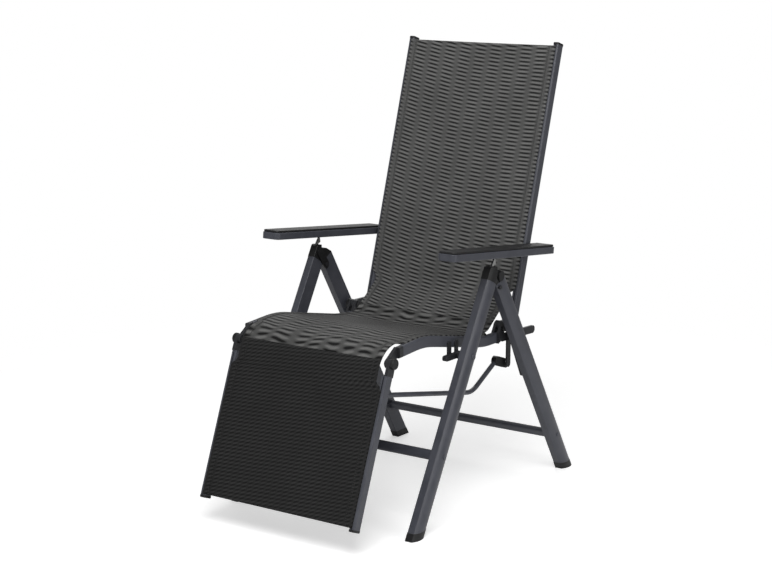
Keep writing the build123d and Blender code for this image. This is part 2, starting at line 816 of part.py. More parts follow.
with BuildPart() as rod_sleeve:
    disc(rod_x - rod_radius, rod_spot, bush_radius, rod_thick)
    disc(rod_x - rod_thick, rod_spot, rod_pin + run_gap, 2 * rod_thick, Mode.SUBTRACT)
save_both(rod_sleeve, "rod_sleeves")

with BuildPart() as link_rod:
    with BuildLine() as rod_line:
        FilletPolyline(
            (rod_x, rod_spot[0], rod_spot[1]),
            (rod_x, rod_bend[0], rod_bend[1]),
            (rod_x, rod_block[0], rod_block[1]),
            radius=rod_bend_radius,
        )
    with BuildSketch(Plane(origin=rod_line.line @ 0, x_dir=(1, 0, 0), z_dir=rod_line.line % 0)):
        Circle(rod_radius)
    sweep(path=rod_line.line)
    disc(rod_x - rod_radius, rod_spot, rod_eye, rod_thick)
    disc(rod_x - rod_thick, rod_spot, bush_radius + run_gap, 2 * rod_thick, Mode.SUBTRACT)
save_both(link_rod, "link_rods")

hook_corner = along(lever_spot, rod_line_angle, -half_gap - rod_pin, -half_gap - rod_pin)

with BuildPart() as rod_hook:
    with BuildSketch(side_plane(rod_x - block_half)):
        strap(rod_block, lever_spot, block_radius)
        with BuildLine():
            Polyline(
                hook_corner,
                along(hook_corner, rod_line_angle, hook_reach),
                along(hook_corner, rod_line_angle, hook_reach, hook_reach),
                along(hook_corner, rod_line_angle, 0, hook_reach),
                close=True,
            )
        make_face(mode=Mode.SUBTRACT)
    extrude(amount=2 * block_half)
    with BuildSketch(Plane(origin=rod_line.line @ 1, x_dir=(1, 0, 0), z_dir=rod_line.line % 1)):
        Circle(rod_radius)
    extrude(amount=-hook_reach, mode=Mode.SUBTRACT)
save_both(rod_hook, "rod_blocks")

# Armrests: a channel open below, a black pad on top and a rack with the pivot block inside
pivot_up = 9.0              # above the channel's lower edges
arm_top_round = 2.0
rack_half = 9.0
rack_low = 2.8              # tips of the teeth, above the channel's lower edges
tooth_high = 5.5
tooth_pitch = 21.0
tooth_count = 5
first_notch = 221.0         # from the pivot to the notch that rests on the tongue
rack_front = 332.0
block_long = 16.0
block_wide = 22.0
block_low = 1.5
arm_x = (arm_in + arm_out) / 2
pivot_end = arm_in + arm_wall + ring_radius * 2


def arm_spot(reach, up):
    """Place on the armrest: reach forward from its pivot, up from the channel's lower edge."""
    return along(arm_pivot, arm_angle, reach, pivot_up - up)


def arm_plane(up):
    """Plane square to the armrest's height, local Y to the rear, below the pivot."""
    spot = arm_spot(0, up)
    turn = radians(arm_angle - 90)
    return Plane(origin=(arm_x, spot[0], spot[1]), x_dir=(1, 0, 0), z_dir=(0, cos(turn), sin(turn)))


def arm_outline(inset=0.0):
    """Plan of the armrest with rounded front corners."""
    with Locations((0, (arm_rear - arm_front) / 2)):
        Rectangle(arm_wide - 2 * inset, arm_front + arm_rear - 2 * inset)
    fillet(vertices().group_by(Axis.Y)[0], arm_corner - inset)
    fillet(vertices().group_by(Axis.Y)[-1], (arm_corner - inset) / 3)


with BuildPart() as arm_rail:
    with BuildSketch(arm_plane(0)):
        arm_outline()
    extrude(amount=arm_high)
    fillet(arm_rail.faces().sort_by(Axis.Z)[-1].edges(), arm_top_round)
    with BuildSketch(arm_plane(0)):
        arm_outline(arm_wall)
    extrude(amount=arm_high - arm_wall, mode=Mode.SUBTRACT)
    disc(arm_in - arm_wall, arm_pivot, ring_radius + run_gap, 3 * arm_wall, Mode.SUBTRACT)
save_pair(arm_rail, "armrest_rail")

with BuildPart() as arm_pad:
    with BuildSketch(arm_plane(arm_high + rest_gap)):
        arm_outline(pad_inset)
    extrude(amount=pad_high)
    fillet(arm_pad.faces().sort_by(Axis.Z)[-1].edges(), arm_top_round)
save_pair(arm_pad, "armrest_pad")

rack_top = arm_high - arm_wall - rest_gap
with BuildPart() as arm_rack:
    with BuildSketch(side_plane(leg_x - rack_half)):
        with BuildLine():
            Polyline(
                arm_spot(-block_long, rack_low + tooth_high),
                arm_spot(first_notch - tooth_pitch, rack_low + tooth_high),
                arm_spot(first_notch - tooth_pitch, rack_low),
                arm_spot(rack_front, rack_low),
                arm_spot(rack_front, rack_top),
                arm_spot(-block_long, rack_top),
                close=True,
            )
        make_face()
        for notch in range(tooth_count):
            reach = first_notch + notch * tooth_pitch
            with BuildLine():
                Polyline(
                    arm_spot(reach - tooth_high, rack_low),
                    arm_spot(reach, rack_low + tooth_high),
                    arm_spot(reach + tooth_high, rack_low),
                    close=True,
                )
            make_face(mode=Mode.SUBTRACT)
    extrude(amount=2 * rack_half)
    with BuildSketch(side_plane(arm_in + arm_wall + rest_gap)):
        with BuildLine():
            Polyline(
                arm_spot(-block_long, block_low),
                arm_spot(block_long, block_low),
                arm_spot(block_long, rack_top),
                arm_spot(-block_long, rack_top),
                close=True,
            )
        make_face()
    extrude(amount=block_wide)
    disc(arm_in, arm_pivot, ring_radius + run_gap, pivot_end - arm_in + half_gap, Mode.SUBTRACT)
save_pair(arm_rack, "armrest_rack")

ring_in = tube_out + half_gap
with BuildPart() as arm_pin:
    disc(tube_out, arm_pivot, pin_radius, pivot_end - tube_out)
save_both(arm_pin, "armrest_pins")

with BuildPart() as arm_sleeve:
    disc(ring_in, arm_pivot, sleeve_radius, pivot_end - ring_in)
    disc(tube_out, arm_pivot, pin_radius + run_gap, pivot_end, Mode.SUBTRACT)
save_both(arm_sleeve, "arm_sleeves")

with BuildPart() as arm_ring:
    disc(ring_in, arm_pivot, ring_radius, pivot_end - ring_in)
    disc(tube_out, arm_pivot, sleeve_radius + run_gap, pivot_end, Mode.SUBTRACT)
save_both(arm_ring, "arm_rings")
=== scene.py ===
# %% [markdown]
# Reclining garden armchair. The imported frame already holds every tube, casting, pin and
# rod at its real size. This lesson gives those pieces their finishes and makes what a rigid
# solid can't show: the woven sling, with its sewn hems and stitches.
# Lengths are in metres. X runs across the chair, the sitter faces -Y, and Z is up.

# %% Load the frame
import json
from math import cos, pi, radians, sin, tan

import bmesh
import bpy
from mathutils import Matrix, Vector
from mathutils.geometry import interpolate_bezier


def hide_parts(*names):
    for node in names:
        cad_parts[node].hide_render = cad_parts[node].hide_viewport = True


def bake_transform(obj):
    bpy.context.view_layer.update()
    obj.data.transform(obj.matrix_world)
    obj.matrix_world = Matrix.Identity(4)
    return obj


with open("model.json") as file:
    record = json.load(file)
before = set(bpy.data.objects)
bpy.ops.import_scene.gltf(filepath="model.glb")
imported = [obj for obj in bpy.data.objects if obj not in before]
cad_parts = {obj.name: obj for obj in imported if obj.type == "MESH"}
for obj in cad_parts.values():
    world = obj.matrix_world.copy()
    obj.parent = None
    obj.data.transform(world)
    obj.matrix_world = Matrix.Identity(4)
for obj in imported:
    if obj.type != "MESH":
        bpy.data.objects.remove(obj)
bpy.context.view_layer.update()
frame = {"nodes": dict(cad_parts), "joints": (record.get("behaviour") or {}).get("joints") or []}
scene = bpy.context.scene
joint_spots = {joint["name"]: Vector(joint["pos_m"]) for joint in frame["joints"]}

# %% [markdown]
# The camera comes first, because every finish is judged through it. Its place was worked out
# from the chair's feet, hinges and tube ends, so the picture lines up with the real view.
# A long lens, far away, keeps the left and the right tubes almost parallel.

# %% Camera
camera_place = (2.5277, -3.6253, 1.4302)
camera_azimuth = 34.956
camera_elevation = 11.587
lens_mm = 84.08

camera_data = bpy.data.cameras.new("camera")
camera_data.lens = lens_mm
camera = bpy.data.objects.new("camera", camera_data)
camera.location = camera_place
camera.rotation_euler = (radians(90 - camera_elevation), 0, radians(camera_azimuth))
scene.collection.objects.link(camera)
scene.camera = camera
scene.view_settings.view_transform = "Standard"
print("camera at", tuple(camera.location))

# %% [markdown]
# A node tree is easier to read when each node takes one line. These helpers make a node,
# feed a socket with either a number or another node's output, and chain small sums.

# %% Node helpers
mix_first = 6               # the Mix node's colour sockets, by their numbers
mix_second = 7
mix_result = 2


def new_node(tree, kind, **settings):
    """Add a node and set its properties."""
    node = tree.nodes.new(kind)
    for name, value in settings.items():
        setattr(node, name, value)
    return node


def feed(tree, socket, value):
    """Link a socket to an output, or give it a plain value."""
    if isinstance(value, bpy.types.NodeSocket):
        tree.links.new(value, socket)
    else:
        socket.default_value = value


def calc(tree, operation, *values):
    """One Math node."""
    node = new_node(tree, "ShaderNodeMath", operation=operation)
    for socket, value in zip(node.inputs, values):
        feed(tree, socket, value)
    return node.outputs[0]


def blend_colour(tree, factor, first, second):
    """One colour Mix node."""
    node = new_node(tree, "ShaderNodeMix", data_type="RGBA")
    feed(tree, node.inputs["Factor"], factor)
    feed(tree, node.inputs[mix_first], first)
    feed(tree, node.inputs[mix_second], second)
    return node.outputs[mix_result]


def spread(tree, value, low, high, out_low=0.0, out_high=1.0):
    """Smoothly map a value from one range to another."""
    node = new_node(tree, "ShaderNodeMapRange", interpolation_type="SMOOTHSTEP")
    for socket, number in zip(node.inputs, (value, low, high, out_low, out_high)):
        feed(tree, socket, number)
    return node.outputs[0]


def noise(tree, vector, scale, detail=2.0):
    """Noise value at a scale in waves per metre."""
    node = new_node(tree, "ShaderNodeTexNoise")
    feed(tree, node.inputs["Vector"], vector)
    feed(tree, node.inputs["Scale"], scale)
    node.inputs["Detail"].default_value = detail
    return node.outputs["Fac"]


def start_group(name, inputs, outputs):
    """Empty node group with float or vector inputs and float outputs."""
    group = bpy.data.node_groups.new(name, "ShaderNodeTree")
    for label, value in inputs.items():
        kind = "NodeSocketVector" if value is None else "NodeSocketFloat"
        socket = group.interface.new_socket(name=label, in_out="INPUT", socket_type=kind)
        if value is not None:
            socket.default_value = value
    for label in outputs:
        group.interface.new_socket(name=label, in_out="OUTPUT", socket_type="NodeSocketFloat")
    entry = group.nodes.new("NodeGroupInput")
    leave = group.nodes.new("NodeGroupOutput")
    return group, entry.outputs, leave.inputs


def use_group(tree, group, **values):
    """Place a group in a tree and feed its inputs by name."""
    node = tree.nodes.new("ShaderNodeGroup")
    node.node_tree = group
    for label, value in values.items():
        feed(tree, node.inputs[label], value)
    return node.outputs


# %% [markdown]
# Powder coat is sprayed dust that melts into a skin. Close up it has a fine orange-peel
# grain, and its rounded edges catch the light, which is painted in as a lighter edge colour.
# Both effects serve several materials, so each is a node group: one for the grain and one
# that finds the edges.

# %% Group: coat grain
grain_scale = 900.0         # waves per metre
mottle_share = 0.02         # the mottle's scale as a share of the grain's
mottle_detail = 4.0

grain_inputs = {"Vector": None, "Scale": grain_scale}
coat_grain, coat_in, coat_out = start_group("coat_grain", grain_inputs, ["Height", "Mottle"])
feed(coat_grain, coat_out["Height"], noise(coat_grain, coat_in["Vector"], coat_in["Scale"]))
broad_scale = calc(coat_grain, "MULTIPLY", coat_in["Scale"], mottle_share)
mottle = noise(coat_grain, coat_in["Vector"], broad_scale, mottle_detail)
feed(coat_grain, coat_out["Mottle"], mottle)
print("group", coat_grain.name)

# %% Group: edges that get a painted highlight
rounding = 0.001            # radius that the edge finder uses unless told otherwise
bevel_samples = 6
flat_agreement = 0.985      # how well the two normals agree where the mask starts
edge_agreement = 0.8        # and where it is full

edge_shine, edge_in, edge_out = start_group("edge_shine", {"Radius": rounding}, ["Mask"])
rounded = new_node(edge_shine, "ShaderNodeBevel", samples=bevel_samples)
feed(edge_shine, rounded.inputs["Radius"], edge_in["Radius"])
surface = new_node(edge_shine, "ShaderNodeNewGeometry")
agreement = new_node(edge_shine, "ShaderNodeVectorMath", operation="DOT_PRODUCT")
feed(edge_shine, agreement.inputs[0], rounded.outputs["Normal"])
feed(edge_shine, agreement.inputs[1], surface.outputs["Normal"])
edge_mask = spread(edge_shine, agreement.outputs["Value"], flat_agreement, edge_agreement)
feed(edge_shine, edge_out["Mask"], edge_mask)
print("group", edge_shine.name)

# %% [markdown]
# The sling is a plain weave of coated yarns. The warp runs up the chair and the weft across
# it, and each passes over and under the other. Two sine waves give the yarns' round backs,
# and the sign of their product says which yarn is on top.

# %% Group: plain weave
yarn_wide = 0.0016
crossing_blur = 0.2         # softens the change from warp to weft

weave_inputs = {"Vector": None, "Yarn": yarn_wide}
weave, weave_in, weave_out = start_group("plain_weave", weave_inputs, ["Height", "Weft"])
split_weave = new_node(weave, "ShaderNodeSeparateXYZ")
feed(weave, split_weave.inputs[0], weave_in["Vector"])
waves = []
for axis in ("X", "Y"):
    turns = calc(weave, "DIVIDE", split_weave.outputs[axis], weave_in["Yarn"])
    waves.append(calc(weave, "SINE", calc(weave, "MULTIPLY", turns, pi)))
over = calc(weave, "MULTIPLY", *waves)
weft_top = spread(weave, over, -crossing_blur, crossing_blur)
warp_round = calc(weave, "ABSOLUTE", waves[0])
warp_top = calc(weave, "SUBTRACT", 1.0, weft_top)
warp_back = calc(weave, "MULTIPLY", warp_round, warp_top)
weft_back = calc(weave, "MULTIPLY", calc(weave, "ABSOLUTE", waves[1]), weft_top)
feed(weave, weave_out["Height"], calc(weave, "MAXIMUM", warp_back, weft_back))
feed(weave, weave_out["Weft"], weft_top)
print("group", weave.name)

# %% [markdown]
# From a few metres away the single yarns blur, and the eye sees bands of light and dark
# where warp and weft drift in and out of step. Short pale dashes lie in rows, and each
# column of dashes is half a row out of step with the next. One sine down the cloth times
# one cosine across it makes that staggered lattice. Its product with its own size keeps the
# dashes thin, and a curve and slow noise bend the rows.

# %% Group: light ripples
wander_scale = 7.0          # waves per metre of the slow noise
noise_middle = 0.5
row_gain = 6.0              # a row's move for each unit of Stray and of drift
column_gain = 1.5           # a column's move as a share of the row's
dash_limit = 0.5            # value of the lattice where a dash is fully pale

ripple_inputs = {
    "Vector": None, "Row": 0.0115, "Column": 0.078, "Slant": 0.0, "Bend": 0.0, "Stray": 0.006,
}
ripples, ripple_in, ripple_out = start_group("light_ripples", ripple_inputs, ["Light"])
split_ripple = new_node(ripples, "ShaderNodeSeparateXYZ")
feed(ripples, split_ripple.inputs[0], ripple_in["Vector"])
drift = calc(ripples, "SUBTRACT", noise(ripples, ripple_in["Vector"], wander_scale), noise_middle)
tilt = calc(ripples, "MULTIPLY", split_ripple.outputs["X"], ripple_in["Slant"])
bent = calc(ripples, "MULTIPLY", drift, calc(ripples, "MULTIPLY", ripple_in["Stray"], row_gain))
across_squared = calc(ripples, "POWER", split_ripple.outputs["X"], 2.0)
curve = calc(ripples, "MULTIPLY", across_squared, ripple_in["Bend"])
shape = calc(ripples, "ADD", calc(ripples, "ADD", tilt, curve), bent)
along_cloth = calc(ripples, "ADD", split_ripple.outputs["Y"], shape)
sideways = calc(ripples, "MULTIPLY", bent, column_gain)
across_cloth = calc(ripples, "ADD", split_ripple.outputs["X"], sideways)
row_turn = calc(ripples, "MULTIPLY", calc(ripples, "DIVIDE", along_cloth, ripple_in["Row"]), 2 * pi)
column_turn = calc(ripples, "MULTIPLY", calc(ripples, "DIVIDE", across_cloth, ripple_in["Column"]), 2 * pi)
lattice = calc(ripples, "MULTIPLY", calc(ripples, "SINE", row_turn), calc(ripples, "COSINE", column_turn))
thin_lattice = calc(ripples, "MULTIPLY", lattice, calc(ripples, "ABSOLUTE", lattice))
feed(ripples, ripple_out["Light"], spread(ripples, thin_lattice, -dash_limit, dash_limit))
print("group", ripples.name)

# %% [markdown]
# Each kind of finish is one short function. The shader stays in the material, the groups only
# give it masks and heights, and a value that is the same all over is set on the shader.

# %% Material helpers
colour_mottle = (0.3, 0.7)  # noise values between which the colour changes
highlight_and_gloss_mottle = (0.2, 0.8)    # the same for the painted edge highlight and for gloss
edge_highlight_range = (0.45, 0.9)     # least and most of the painted edge highlight that shows
gloss_swing = 0.06          # roughness either way
grain_strength = 0.35


def start_material(name, roughness, metallic=0.0):
    """Material with a Principled shader. Returns it, its tree and the shader."""
    material = bpy.data.materials.new(name)
    material.use_nodes = True
    tree = material.node_tree
    shader = tree.nodes["Principled BSDF"]
    shader.inputs["Roughness"].default_value = roughness
    shader.inputs["Metallic"].default_value = metallic
    return material, tree, shader


def add_bump(tree, shader, height, strength, distance):
    """Feed a height to the shader's normal."""
    bump = new_node(tree, "ShaderNodeBump")
    bump.inputs["Strength"].default_value = strength
    bump.inputs["Distance"].default_value = distance
    feed(tree, bump.inputs["Height"], height)
    feed(tree, shader.inputs["Normal"], bump.outputs["Normal"])


def coated(name, dark, light, edge_highlight_colour, roughness, grain, depth, edge_radius=0.0012):
    """Painted or moulded finish: mottled colour, a painted highlight on the edges and a fine grain."""
    material, tree, shader = start_material(name, roughness)
    place = new_node(tree, "ShaderNodeTexCoord").outputs["Object"]
    coat = use_group(tree, coat_grain, Vector=place, Scale=grain)
    edge_highlight_mask = use_group(tree, edge_shine, Radius=edge_radius)["Mask"]
    tone = spread(tree, coat["Mottle"], *colour_mottle)
    colour = blend_colour(tree, tone, dark, light)
    # The edges blend towards a lighter colour: a painted highlight for the light that rounded edges catch.
    edge_highlight_share = calc(tree, "MULTIPLY", edge_highlight_mask, spread(tree, coat["Mottle"], *highlight_and_gloss_mottle, *edge_highlight_range))
    feed(tree, shader.inputs["Base Color"], blend_colour(tree, edge_highlight_share, colour, edge_highlight_colour))
    uneven = spread(tree, coat["Mottle"], *highlight_and_gloss_mottle, roughness - gloss_swing, roughness + gloss_swing)
    feed(tree, shader.inputs["Roughness"], uneven)
    add_bump(tree, shader, coat["Height"], grain_strength, depth)
    return material


# %% Paint, plastic and steel
# In each finish below, the edge colour is a painted highlight.
frame_paint = coated(
    "frame_paint",
    dark=(0.058, 0.061, 0.075, 1),
    light=(0.070, 0.073, 0.089, 1),
    edge_highlight_colour=(0.18, 0.185, 0.21, 1),
    roughness=0.38,
    grain=1400.0,
    depth=0.00008,
)
casting_paint = coated(
    "casting_paint",
    dark=(0.016, 0.016, 0.019, 1),
    light=(0.024, 0.025, 0.028, 1),
    edge_highlight_colour=(0.07, 0.07, 0.076, 1),
    roughness=0.42,
    grain=700.0,
    depth=0.00018,
)
black_plastic = coated(
    "black_plastic",
    dark=(0.0060, 0.0060, 0.0066, 1),
    light=(0.010, 0.010, 0.011, 1),
    edge_highlight_colour=(0.03, 0.03, 0.033, 1),
    roughness=0.50,
    grain=1100.0,
    depth=0.0001,
)
pad_plastic = coated(
    "pad_plastic",
    dark=(0.0075, 0.0075, 0.008, 1),
    light=(0.013, 0.013, 0.014, 1),
    edge_highlight_colour=(0.04, 0.04, 0.042, 1),
    roughness=0.5,
    grain=800.0,
    depth=0.0002,
)


def brushed_steel():
    """Bright zinc-plated steel with fine scratches across the chair."""
    material, tree, shader = start_material("bright_steel", roughness=0.3, metallic=1.0)
    place = new_node(tree, "ShaderNodeTexCoord").outputs["Object"]
    stretch = new_node(tree, "ShaderNodeMapping")
    stretch.inputs["Scale"].default_value = (0.1, 1, 1)
    feed(tree, stretch.inputs["Vector"], place)
    scratch = noise(tree, stretch.outputs["Vector"], scale=2600.0, detail=3.0)
    zinc = blend_colour(tree, scratch, (0.5, 0.5, 0.5, 1), (0.86, 0.86, 0.84, 1))
    feed(tree, shader.inputs["Base Color"], zinc)
    feed(tree, shader.inputs["Roughness"], spread(tree, scratch, 0.3, 0.7, out_low=0.2, out_high=0.42))
    add_bump(tree, shader, scratch, strength=0.2, distance=0.00005)
    return material


bright_steel = brushed_steel()
print("finishes", [m.name for m in (frame_paint, casting_paint, black_plastic, pad_plastic, bright_steel)])

# %% [markdown]
# Cloth needs its own coordinates, because a pattern on object coordinates would slide round
# the bends. Each sling piece carries a UV map in metres: U across the chair and V down the
# cloth from the backrest's top, so the yarns run on from one piece to the next. The light
# falls differently on the backrest, the seat and the footrest, so each has its own bands and
# its own colours: the footrest's much darker cloth is painted shade.

# %% Sling cloth
patch_span = (0.25, 0.75)   # noise values from a dull patch to full light
dull_patch = 0.8            # share of the light that a dull patch keeps
warp_light = 0.72           # share of the light that a warp yarn shows
# The low parts of the weave, between the yarns, are darkened: painted shade.
groove_height = 0.6         # height of a yarn above which nothing is darkened
groove_shade_share = 0.35         # share of the painted groove shade at its bottom
groove_shade_colour = (0.004, 0.004, 0.004, 1)


def sling_cloth(name, dark, light, row, column, slant, bend, stray):
    """Coated yarns: fine weave, ripples of light, painted shade between the yarns and a faint sheen."""
    material, tree, shader = start_material(name, roughness=0.62)
    cloth = new_node(tree, "ShaderNodeUVMap", uv_map="cloth").outputs["UV"]
    yarns = use_group(tree, weave, Vector=cloth)
    lattice_light = use_group(
        tree, ripples, Vector=cloth, Row=row, Column=column, Slant=slant, Bend=bend, Stray=stray
    )["Light"]
    patches = noise(tree, cloth, scale=9.0, detail=3.0)
    shown = calc(tree, "MULTIPLY", lattice_light, spread(tree, patches, *patch_span, dull_patch, 1.0))
    picked = calc(tree, "MULTIPLY", shown, spread(tree, yarns["Weft"], 0.0, 1.0, warp_light, 1.0))
    colour = blend_colour(tree, picked, dark, light)
    # Painted shade: the weave is darkened where the yarns dip low.
    groove_shade = spread(tree, yarns["Height"], 0.0, groove_height, groove_shade_share, 0.0)
    feed(tree, shader.inputs["Base Color"], blend_colour(tree, groove_shade, colour, groove_shade_colour))
    shader.inputs["Specular IOR Level"].default_value = 0.2
    shader.inputs["Sheen Weight"].default_value = 0.03
    shader.inputs["Sheen Roughness"].default_value = 0.4
    add_bump(tree, shader, yarns["Height"], strength=0.6, distance=0.0004)
    return material


# The three cloths are one cloth, coloured for the light that each part gets: the footrest's much darker
# colours are painted shade.
back_cloth = sling_cloth(
    "back_cloth",
    dark=(0.011, 0.011, 0.011, 1),
    light=(0.25, 0.25, 0.245, 1),
    row=0.0105,
    column=0.090,
    slant=-0.12,
    bend=0.28,
    stray=0.001,
)
seat_cloth = sling_cloth(
    "seat_cloth",
    dark=(0.004, 0.004, 0.004, 1),
    light=(0.22, 0.22, 0.215, 1),
    row=0.0200,
    column=0.11,
    slant=0.03,
    bend=0.0,
    stray=0.009,
)
foot_cloth_painted_shade = sling_cloth(
    "foot_cloth_painted_shade",
    dark=(0.004, 0.004, 0.004, 1),
    light=(0.042, 0.042, 0.042, 1),
    row=0.0095,
    column=0.034,
    slant=0.35,
    bend=0.0,
    stray=0.001,
)
# The thread's edge colour is a painted highlight too.
thread = coated(
    "sewing_thread",
    dark=(0.02, 0.02, 0.02, 1),
    light=(0.05, 0.05, 0.05, 1),
    edge_highlight_colour=(0.09, 0.09, 0.09, 1),
    roughness=0.6,
    grain=900.0,
    depth=0.0001,
    edge_radius=0.0003,
)
print("cloth", back_cloth.name, seat_cloth.name, foot_cloth_painted_shade.name)

# %% [markdown]
# Every carried-over node gets a finish by what it is made of: painted aluminium, darker
# painted castings at the hinges, moulded black plastic, or plated steel. The heads of the
# screws and bolts in the legs are painted with the legs, so they hardly show. The three
# sling solids get a cloth too, but the sheets made below take their place. The bushes at
# the hinges are steel in the record and black here, because black is what shows.

# %% Dress the frame
finish_of = {
    frame_paint: (
        "front_leg_l", "front_leg_r", "rear_leg_l", "rear_leg_r", "front_crossbar", "rear_crossbar",
        "seat_rail_l", "seat_rail_r", "seat_crossbars", "backrest_tube_l", "backrest_tube_r",
        "backrest_upper_bar", "backrest_lower_bar", "footrest_tube_l", "footrest_tube_r", "footrest_bars",
        "armrest_rail_l", "armrest_rail_r", "link_rods", "front_bar_screws", "rear_bar_screws",
        "seat_pivot_bolts",
    ),
    casting_paint: (
        "seat_front_fittings", "seat_rear_fittings", "backrest_fittings", "footrest_fittings",
        "seat_brackets", "fold_links", "levers", "link_bosses", "fold_pins",
    ),
    black_plastic: (
        "front_foot_caps", "rear_foot_caps", "front_head_l", "front_head_r", "rear_head_l", "rear_head_r",
        "backrest_caps", "footrest_caps", "back_knobs", "foot_knobs", "back_bushes", "foot_bushes",
        "rod_blocks", "rod_sleeves", "arm_sleeves", "arm_rings", "armrest_rack_l", "armrest_rack_r",
    ),
    pad_plastic: ("armrest_pad_l", "armrest_pad_r"),
    bright_steel: ("latch_tongues", "link_bolts", "lever_pins", "armrest_pins", "rod_pins"),
    foot_cloth_painted_shade: ("back_sling", "seat_sling", "foot_sling"),
}
for finish, names in finish_of.items():
    for name in names:
        slots = frame["nodes"][name].data.materials
        slots.clear()
        slots.append(finish)
dressed = sum(len(names) for names in finish_of.values())
print("dressed", dressed, "of", len(frame["nodes"]))

# %% [markdown]
# One sling runs from the top of the backrest to the bottom of the footrest. From the side it
# is a line with rounded corners: straight down the backrest, across the gap at the rear
# hinge, along the bent seat tubes, over the front edge and down the footrest. Each corner is
# given by the tubes' own places, and a Bezier arc rounds it.

# %% The sling's route
hinge_back = joint_spots["back_fold"]
hinge_foot = joint_spots["foot_fold"]
back_lean = radians(16.84)
back_set = 0.065            # backrest tube's axis behind the hinge
foot_lean = radians(21.25)
sling_up = 0.0144           # cloth's middle above the tubes' axes
cloth_thick = 0.0012
seat_dip = (hinge_back.y - 0.0780, 0.402)
seat_crest = (hinge_foot.y + 0.1370, 0.455)
seat_front = (hinge_foot.y + 0.0440, 0.449)
seat_rear = (seat_dip[0] + 0.0550, seat_dip[1])
back_hem_reach = 0.731      # from the hinge's level up to the sling's top edge
back_free_reach = 0.076     # below this the cloth leaves the tubes
foot_hem_reach = 0.386
foot_free_reach = 0.046
seat_free_y = seat_dip[0] + 0.0513   # the cloth leaves the seat tubes behind this
back_bend = 0.050           # radii of the cloth's bends, from the top down
rear_bend = 0.045
dip_bend = 0.266
crest_bend = 0.314
front_bend = 0.074
route_step = 0.004


def back_spot(reach, up):
    """Side-view place on the backrest: reach up its tube, up towards the sitter."""
    behind = back_set - up
    y = hinge_back.y + reach * sin(back_lean) + behind * cos(back_lean)
    z = hinge_back.z + reach * cos(back_lean) - behind * sin(back_lean)
    return Vector((y, z))


def foot_spot(reach, up):
    """Side-view place on the footrest: reach down its tube, up towards the cloth's face."""
    y = hinge_foot.y - reach * sin(foot_lean) - up * cos(foot_lean)
    z = hinge_foot.z - reach * cos(foot_lean) + up * sin(foot_lean)
    return Vector((y, z))


def raised(before, corner, after):
    """The corner of a bent tube, moved up square to both its stretches."""
    normals = []
    for start, end in ((before, corner), (corner, after)):
        run = (Vector(end) - Vector(start)).normalized()
        normals.append(Vector((run.y, -run.x)))
    return Vector(corner) + sling_up * (normals[0] + normals[1]) / (1 + normals[0].dot(normals[1]))


def crossing(first, first_run, second, second_run):
    """Where two side-view lines meet."""
    gap = second - first
    turn = first_run.x * second_run.y - first_run.y * second_run.x
    reach = (gap.x * second_run.y - gap.y * second_run.x) / turn
    return first + first_run * reach


dip_corner = raised(seat_rear, seat_dip, seat_crest)
crest_corner = raised(seat_dip, seat_crest, seat_front)
front_run = (Vector(seat_front) - Vector(seat_crest)).normalized()
foot_run = foot_spot(1, 0) - foot_spot(0, 0)
front_corner = crossing(crest_corner, front_run, foot_spot(0, sling_up), foot_run)
route_corners = [
    (back_spot(back_hem_reach, sling_up), 0),
    (back_spot(back_free_reach, sling_up), back_bend),
    (Vector((seat_free_y, seat_dip[1] + sling_up)), rear_bend),
    (dip_corner, dip_bend),
    (crest_corner, crest_bend),
    (front_corner, front_bend),
    (foot_spot(foot_hem_reach, sling_up), 0),
]


def rounded_route(corners, step):
    """Points about a step apart along a line whose corners are rounded."""
    points = [corners[0][0]]
    for (before, _), (corner, radius), (after, _) in zip(corners, corners[1:], corners[2:]):
        arrive = (corner - before).normalized()
        depart = (after - corner).normalized()
        turn = arrive.angle(depart)
        reach = radius * tan(turn / 2)
        handle = radius * tan(turn / 4) * 4 / 3
        first = corner - arrive * reach
        last = corner + depart * reach
        add_line(points, first, step)
        pieces = max(3, int(radius * turn / step) + 1)
        arc = interpolate_bezier(first, first + arrive * handle, last - depart * handle, last, pieces + 1)
        points.extend(Vector(spot[:2]) for spot in arc[1:])
    add_line(points, corners[-1][0], step)
    return points


def add_line(points, end, step):
    """Evenly spaced points from the last one to an end."""
    start = points[-1].copy()
    pieces = max(1, round((end - start).length / step))
    points.extend(start.lerp(end, n / pieces) for n in range(1, pieces + 1))


route = rounded_route(route_corners, route_step)
distances = [0.0]
for before, after in zip(route, route[1:]):
    distances.append(distances[-1] + (after - before).length)
print("sling length", round(distances[-1], 4), "points", len(route))

# %% [markdown]
# A grid operator makes each sheet flat, and every vertex is then laid on the route. Where
# the tubes carry it, the edge dips into the tube's slot. Over the two hinges the cloth is
# free and narrower, so that it clears the castings. It sags a little between the tubes.

# %% Laying cloth on the route
slot_x = 0.2225             # middle of the tube's slot
slot_drop = 0.0050
free_half = 0.2050          # half width where nothing holds the edge
fade = 0.022                # length over which the edge goes into the slot
sag = 0.0026
lip_share = 0.03            # share of the half width that turns down into the slot
flat_share = 1 - lip_share
lip_out = 0.004             # share of the half width by which the lip goes on outwards
free_sag = 0.35             # share of the sag where the tubes don't hold the edge
row_step = 0.004
sheet_columns = 72
grid_half = 0.5             # the grid operator's own half width
back_early = 0.006          # how far each free span reaches on to the tubes
seat_early = 0.012
front_early = 0.002


def route_at(distance):
    """Side-view place and tangent at a distance down the cloth."""
    distance = min(max(distance, 0.0), distances[-1])
    place = next((n for n in range(1, len(distances)) if distances[n] >= distance), len(distances) - 1)
    share = (distance - distances[place - 1]) / (distances[place] - distances[place - 1])
    return route[place - 1].lerp(route[place], share), tangent_at(place, share)


